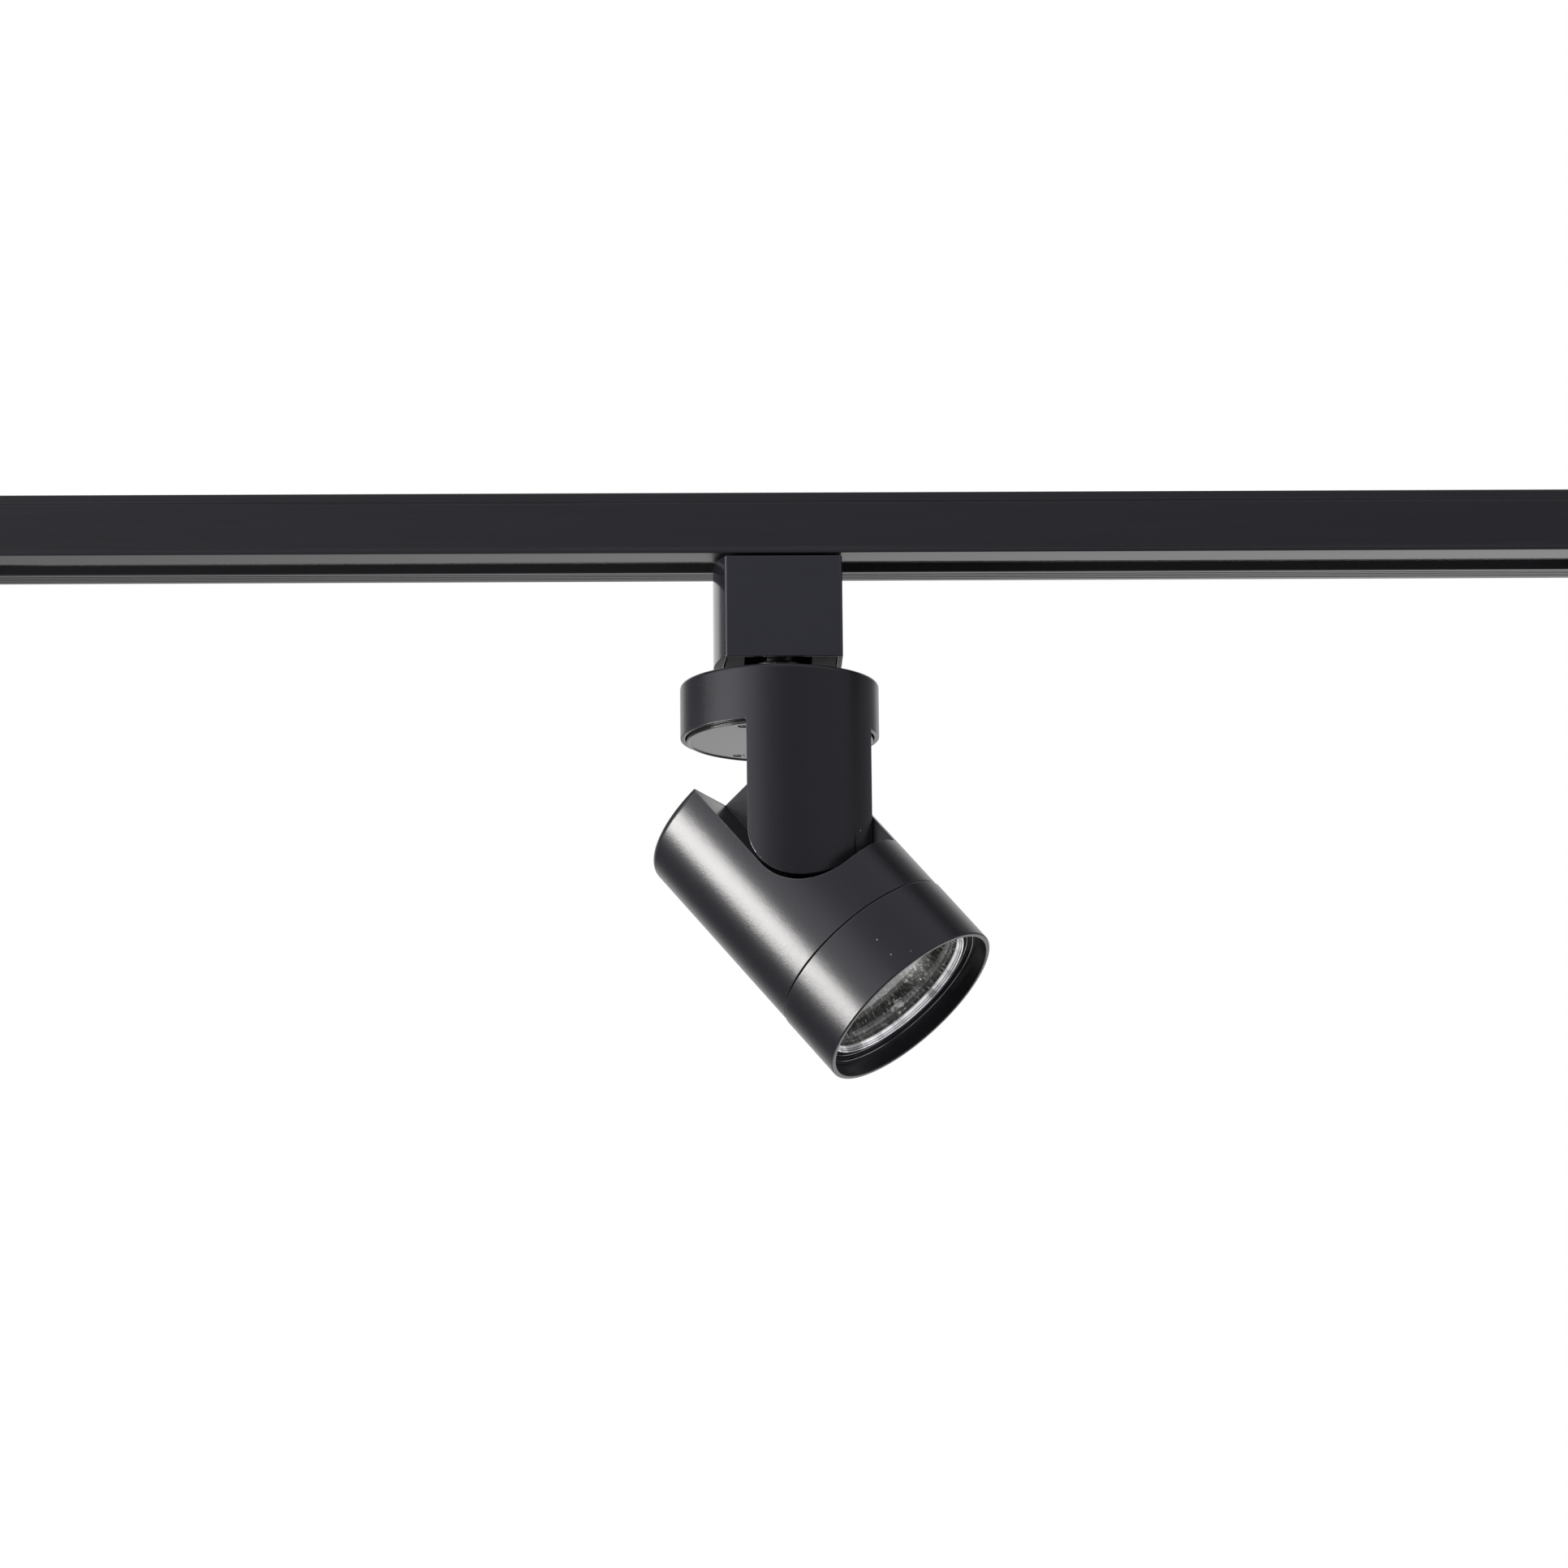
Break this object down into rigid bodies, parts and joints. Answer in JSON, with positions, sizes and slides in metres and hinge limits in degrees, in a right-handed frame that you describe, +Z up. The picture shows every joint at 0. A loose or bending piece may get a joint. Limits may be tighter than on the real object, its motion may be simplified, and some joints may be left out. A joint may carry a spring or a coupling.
{
  "type": "track spotlight",
  "caption": "Cylindrical spotlight that tilts and pans under a round canopy with an integral quarter-cylinder arm, on a spring-sleeve adapter in a straight length of ceiling track.",
  "frame": {"origin": "centre of the track's top face, straight above the lamp's pan axis", "axes": "+X along the track, +Z up out of the top face towards the ceiling, -Y is the front"},
  "size_m": [0.5, 0.0781, 0.1767],
  "materials": {
    "satin_black": "satin powder coat, fine texture",
    "track_black": "satin anodised",
    "gloss_black": "gloss moulded",
    "matt_black": "fine moulded texture",
    "cover_black": "smooth semi-gloss",
    "copper": "bright strip",
    "steel": "zinc plated",
    "nickel": "nickel plated",
    "white_plastic": "moulded",
    "board_green": "solder mask",
    "ferrite": "sintered",
    "can_blue": "shrink sleeve",
    "lead_black": "sheath",
    "aluminium": "machined",
    "bright_reflector": "polished, faintly brushed",
    "phosphor": "phosphor-filled resin",
    "glass": "clear tempered",
    "silicone": "moulded",
    "fibre": "pressed fibre"
  },
  "bodies": {
    "track": {"track_extrusion": "track_black", "insulator_front": "white_plastic", "insulator_rear": "white_plastic", "conductor_live": "copper", "conductor_neutral": "copper", "end_cap_left": "matt_black", "end_cap_right": "matt_black"},
    "adapter": {"adapter_core": "matt_black", "locking_foot": "steel", "contact_live": "copper", "contact_neutral": "copper", "contact_earth": "copper", "earth_strap": "steel", "swivel_nipple": "nickel", "swivel_collar": "nickel", "swivel_washer": "steel", "swivel_nut": "nickel", "supply_lead": "lead_black", "sleeve_spring_front": "steel", "sleeve_spring_rear": "steel"},
    "sleeve": {"adapter_sleeve": "gloss_black"},
    "canopy": {"canopy_arm_casting": "satin_black", "canopy_cover": "cover_black", "cover_screw_1": "steel", "cover_screw_2": "steel", "cover_screw_3": "steel", "driver_board": "board_green", "driver_choke": "ferrite", "driver_capacitor": "can_blue", "terminal_block": "white_plastic", "arm_lead": "lead_black", "pivot_pin": "nickel", "pivot_spring_washer": "steel", "pivot_nut": "nickel"},
    "head": {"head_housing": "satin_black", "friction_washer": "fibre", "heat_sink": "aluminium", "thermal_pad": "silicone", "cob_led": "phosphor", "led_holder": "white_plastic", "holder_screw_1": "steel", "holder_screw_2": "steel", "reflector": "bright_reflector", "head_lead": "lead_black"},
    "trim": {"trim_ring": "satin_black", "lens_bezel": "bright_reflector", "front_glass": "glass", "glass_gasket": "silicone", "retaining_ring": "steel"}
  },
  "joints": [
    {"name": "track_slide", "type": "slide", "parent": "track", "child": "adapter", "axis": [1, 0, 0], "range_m": [-0.2, 0.2]},
    {"name": "sleeve_pull", "type": "slide", "parent": "adapter", "child": "sleeve", "axis": [0, 0, -1], "range_m": [0, 0.0042], "stiffness_N_per_m": 400, "springref_m": -0.004, "deforming": ["sleeve_spring_front", "sleeve_spring_rear"]},
    {"name": "pan", "type": "hinge", "parent": "adapter", "child": "canopy", "pos_m": [0, 0, -0.0558], "axis": [0, 0, 1], "range_deg": [-175, 175]},
    {"name": "tilt", "type": "hinge", "parent": "canopy", "child": "head", "pos_m": [0.01405, -0.00525, -0.10483], "axis": [-0.3502, -0.9367, 0], "range_deg": [-41.1, 48.9]},
    {"name": "trim_twist", "type": "hinge", "parent": "head", "child": "trim", "pos_m": [0.03117, -0.01165, -0.1486], "axis": [-0.6157, 0.2302, 0.7536], "range_deg": [0, 30]}
  ]
}
